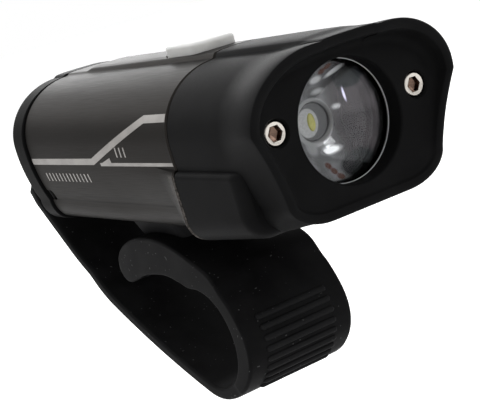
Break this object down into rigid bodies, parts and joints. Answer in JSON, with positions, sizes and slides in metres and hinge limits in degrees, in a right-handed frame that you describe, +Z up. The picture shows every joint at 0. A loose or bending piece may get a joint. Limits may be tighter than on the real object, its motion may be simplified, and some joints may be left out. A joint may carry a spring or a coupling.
{
  "type": "bike headlight",
  "caption": "Bicycle headlight: metal shell, black visored front cap with reflector lens, top button and a rubber strap loop that hooks on the rear cap",
  "frame": {"origin": "on the axis of the handlebar that the strap loop holds, at the middle of the strap's width", "axes": "+X along the handlebar, the lamp shines towards -Y, +Z up"},
  "size_m": [0.0466, 0.1159, 0.0754],
  "materials": {
    "shell_metal": "satin gunmetal anodising with a fine long grain",
    "cap_plastic": "fine-textured moulded black",
    "strap_rubber": "matt moulded silicone",
    "button_rubber": "translucent pale grey silicone",
    "seal_rubber": "matt",
    "screw_steel": "nickel plated",
    "clear_lens": "clear and polished",
    "reflector_chrome": "vapour-coated mirror",
    "emitter_phosphor": "phosphor under a clear dome",
    "emitter_board": "white solder mask on a metal core",
    "sink_metal": "machined",
    "cell_wrap": null,
    "tray_plastic": "moulded",
    "board_laminate": "green solder mask",
    "switch_plastic": "moulded",
    "socket_steel": "tinned"
  },
  "bodies": {
    "lamp": {"body_shell": "shell_metal", "front_cap": "cap_plastic", "rear_cap": "cap_plastic", "front_gasket": "seal_rubber", "rear_gasket": "seal_rubber", "front_screws": "screw_steel", "rear_screws": "screw_steel", "lens": "clear_lens", "lens_seal": "seal_rubber", "reflector": "reflector_chrome", "led_emitter": "emitter_phosphor", "led_board": "emitter_board", "heat_sink": "sink_metal", "battery_cell": "cell_wrap", "battery_tray": "tray_plastic", "circuit_board": "board_laminate", "tact_switch": "switch_plastic", "usb_socket": "socket_steel", "plug_tether": "strap_rubber", "mount_foot": "cap_plastic", "foot_screws": "screw_steel", "strap_band": "strap_rubber", "strap_bend": "strap_rubber"},
    "power_button": {"power_button": "button_rubber"},
    "port_plug": {"port_plug": "strap_rubber"},
    "strap_tail": {"strap_tail": "strap_rubber", "strap_eyelet": "strap_rubber"}
  },
  "joints": [
    {"name": "button_press", "type": "slide", "parent": "lamp", "child": "power_button", "axis": [0, 0, -1], "range_m": [0, 0.0008], "stiffness_N_per_m": 1200},
    {"name": "port_plug_open", "type": "hinge", "parent": "lamp", "child": "port_plug", "pos_m": [0, 0.0549, 0.0481], "axis": [-1, 0, 0], "range_deg": [0, 100], "stiffness_Nm_per_rad": 0.003, "springref_deg": -5.73},
    {"name": "strap_open", "type": "hinge", "parent": "lamp", "child": "strap_tail", "pos_m": [0, 0, -0.0124], "axis": [-1, 0, 0], "range_deg": [0, 75], "stiffness_Nm_per_rad": 0.05, "springref_deg": -5.73, "deforming": ["strap_bend", "strap_eyelet"]}
  ]
}
